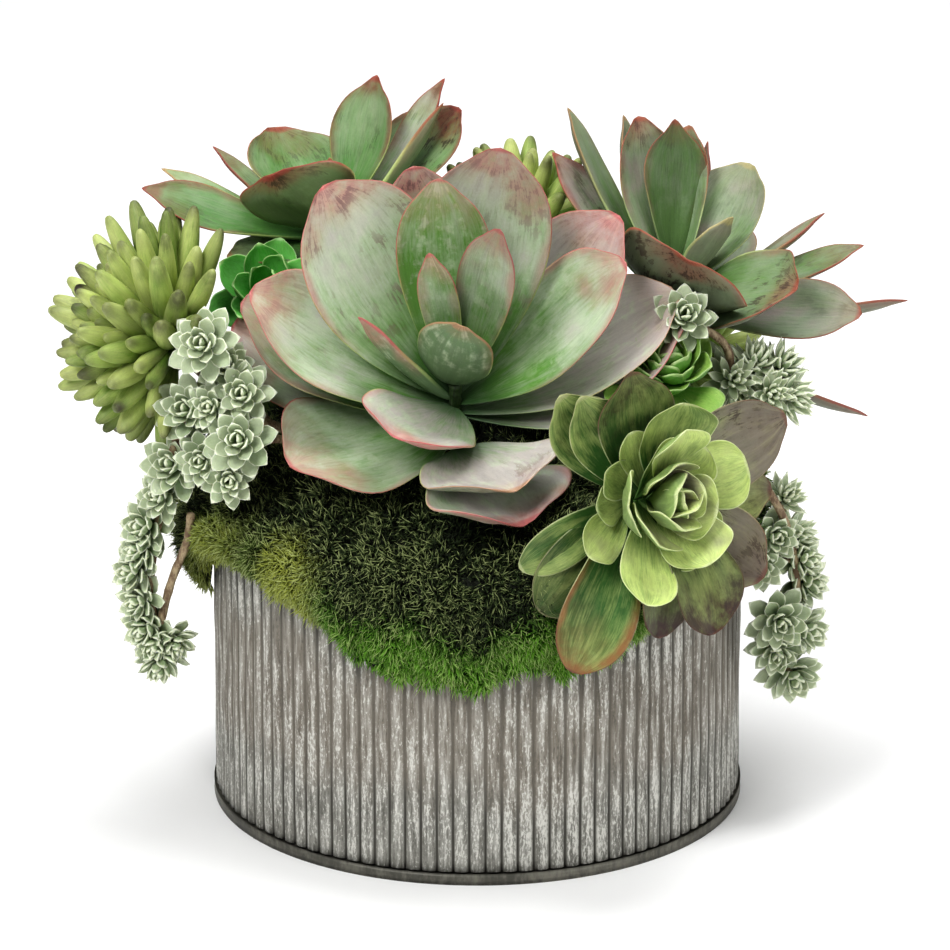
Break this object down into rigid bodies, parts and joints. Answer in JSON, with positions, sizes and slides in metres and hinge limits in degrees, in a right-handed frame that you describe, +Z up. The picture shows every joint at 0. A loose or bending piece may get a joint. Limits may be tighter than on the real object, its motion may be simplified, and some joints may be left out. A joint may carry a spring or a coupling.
{
  "type": "succulent dish garden",
  "caption": "Round ribbed zinc pot filled with succulents: a large pale rosette in front, smaller rosettes, finger sedum and trailing stems over a moss skirt.",
  "frame": {"origin": "centre of the pot's flat underside", "axes": "+Z up, -Y towards the front of the arrangement, +X to its right as seen from the front"},
  "size_m": [0.324, 0.2533, 0.2682],
  "materials": {
    "weathered_zinc": "weathered, lime-washed",
    "dark_zinc": "tarnished",
    "potting_mix": "coarse",
    "moss": "tufted",
    "echeveria_pale": "waxy, frosted",
    "echeveria_green": "waxy",
    "echeveria_grey": "waxy",
    "aeonium": "satin",
    "bud_green": "satin",
    "finger_green": "satin",
    "sage": "powdery"
  },
  "bodies": {
    "root": {"echeveria_centre": "echeveria_pale", "echeveria_back_left": "echeveria_green", "echeveria_back_right": "echeveria_grey", "aeonium_front_right": "aeonium", "bud_rosette": "bud_green", "bright_rosette": "bud_green", "finger_sedum_left": "finger_green", "finger_sedum_back": "finger_green", "echeveria_rear": "echeveria_grey", "aeonium_rear": "aeonium", "finger_sedum_rear": "finger_green", "trailing_sedum_left": "sage", "trailing_sedum_right": "sage", "trailing_sedum_back": "sage", "pot_wall": "weathered_zinc", "pot_rim": "weathered_zinc", "pot_base": "dark_zinc", "potting_mound": "potting_mix", "moss_mat": "moss"}
  },
  "joints": []
}
